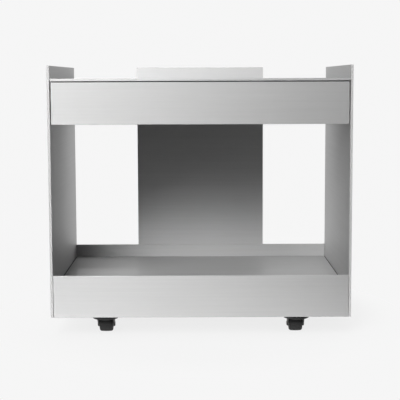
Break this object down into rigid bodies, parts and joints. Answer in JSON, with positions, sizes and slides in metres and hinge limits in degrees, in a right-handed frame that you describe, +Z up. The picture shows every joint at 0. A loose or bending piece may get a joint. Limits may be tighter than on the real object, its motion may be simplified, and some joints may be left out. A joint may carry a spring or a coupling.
{
  "type": "serving trolley",
  "caption": "Serving trolley of brushed metal plate with a tabletop, a full-width drawer, a lower tray and swivel casters.",
  "frame": {"origin": "on the floor below the middle of the trolley", "axes": "+X to the right seen from the front, +Y to the rear, +Z up"},
  "size_m": [0.7, 0.45, 0.635],
  "materials": {
    "brushed_plate": "brushed satin",
    "folded_sheet": "satin",
    "angle_black": "black anodised",
    "runner_zinc": "zinc plated",
    "caster_black": "black satin",
    "bright_steel": "bright",
    "tyre_rubber": "matte",
    "hub_plastic": "matte",
    "cage_plastic": "matte"
  },
  "bodies": {
    "frame": {"back_panel": "brushed_plate", "back_panel_screws": "bright_steel", "caster_bolts": "bright_steel", "caster_kingpins": "bright_steel", "caster_nuts": "bright_steel", "caster_plate_front_left": "caster_black", "caster_plate_front_right": "caster_black", "caster_plate_rear_left": "caster_black", "caster_plate_rear_right": "caster_black", "caster_rail_front": "folded_sheet", "caster_rail_rear": "folded_sheet", "caster_swivel_balls": "bright_steel", "frame_screws": "bright_steel", "front_apron": "brushed_plate", "rear_apron": "brushed_plate", "runner_outer_left": "runner_zinc", "runner_outer_right": "runner_zinc", "runner_screws": "bright_steel", "side_panel_left": "brushed_plate", "side_panel_right": "brushed_plate", "tabletop": "brushed_plate", "top_cleat_front": "angle_black", "top_cleat_left": "angle_black", "top_cleat_rear": "angle_black", "top_cleat_right": "angle_black", "tray_floor": "brushed_plate", "tray_ledge_left": "angle_black", "tray_ledge_right": "angle_black", "tray_nuts": "bright_steel", "tray_studs": "bright_steel"},
    "drawer": {"drawer_front": "brushed_plate", "drawer_box": "folded_sheet", "drawer_front_screws": "bright_steel", "box_runner_screws": "bright_steel", "runner_inner_left": "runner_zinc", "runner_inner_right": "runner_zinc"},
    "ball_cage_left": {"runner_cage_left": "cage_plastic", "runner_balls_left": "bright_steel"},
    "ball_cage_right": {"runner_cage_right": "cage_plastic", "runner_balls_right": "bright_steel"},
    "caster_front_left": {"caster_fork_front_left": "caster_black", "caster_axle_front_left": "bright_steel", "caster_sleeve_front_left": "bright_steel"},
    "wheel_front_left": {"wheel_hub_front_left": "hub_plastic", "wheel_tyre_front_left": "tyre_rubber"},
    "caster_front_right": {"caster_fork_front_right": "caster_black", "caster_axle_front_right": "bright_steel", "caster_sleeve_front_right": "bright_steel"},
    "wheel_front_right": {"wheel_hub_front_right": "hub_plastic", "wheel_tyre_front_right": "tyre_rubber"},
    "caster_rear_left": {"caster_fork_rear_left": "caster_black", "caster_axle_rear_left": "bright_steel", "caster_sleeve_rear_left": "bright_steel"},
    "wheel_rear_left": {"wheel_hub_rear_left": "hub_plastic", "wheel_tyre_rear_left": "tyre_rubber"},
    "caster_rear_right": {"caster_fork_rear_right": "caster_black", "caster_axle_rear_right": "bright_steel", "caster_sleeve_rear_right": "bright_steel"},
    "wheel_rear_right": {"wheel_hub_rear_right": "hub_plastic", "wheel_tyre_rear_right": "tyre_rubber"}
  },
  "joints": [
    {"name": "drawer_slide", "type": "slide", "parent": "frame", "child": "drawer", "axis": [0, -1, 0], "range_m": [0, 0.3]},
    {"name": "ball_cage_slide_left", "type": "slide", "parent": "frame", "child": "ball_cage_left", "axis": [0, -1, 0], "range_m": [0, 0.15]},
    {"name": "ball_cage_slide_right", "type": "slide", "parent": "frame", "child": "ball_cage_right", "axis": [0, -1, 0], "range_m": [0, 0.15]},
    {"name": "swivel_front_left", "type": "hinge", "parent": "frame", "child": "caster_front_left", "pos_m": [-0.227, -0.171, 0.045], "axis": [0, 0, 1], "continuous": true},
    {"name": "wheel_turn_front_left", "type": "hinge", "parent": "caster_front_left", "child": "wheel_front_left", "pos_m": [-0.227, -0.153, 0.018], "axis": [1, 0, 0], "continuous": true},
    {"name": "swivel_front_right", "type": "hinge", "parent": "frame", "child": "caster_front_right", "pos_m": [0.227, -0.171, 0.045], "axis": [0, 0, 1], "continuous": true},
    {"name": "wheel_turn_front_right", "type": "hinge", "parent": "caster_front_right", "child": "wheel_front_right", "pos_m": [0.227, -0.153, 0.018], "axis": [1, 0, 0], "continuous": true},
    {"name": "swivel_rear_left", "type": "hinge", "parent": "frame", "child": "caster_rear_left", "pos_m": [-0.227, 0.165, 0.045], "axis": [0, 0, 1], "continuous": true},
    {"name": "wheel_turn_rear_left", "type": "hinge", "parent": "caster_rear_left", "child": "wheel_rear_left", "pos_m": [-0.227, 0.183, 0.018], "axis": [1, 0, 0], "continuous": true},
    {"name": "swivel_rear_right", "type": "hinge", "parent": "frame", "child": "caster_rear_right", "pos_m": [0.227, 0.165, 0.045], "axis": [0, 0, 1], "continuous": true},
    {"name": "wheel_turn_rear_right", "type": "hinge", "parent": "caster_rear_right", "child": "wheel_rear_right", "pos_m": [0.227, 0.183, 0.018], "axis": [1, 0, 0], "continuous": true}
  ],
  "couplings": [
    {"joint": "ball_cage_slide_left", "follows": "drawer_slide", "ratio": 0.5},
    {"joint": "ball_cage_slide_right", "follows": "drawer_slide", "ratio": 0.5}
  ]
}
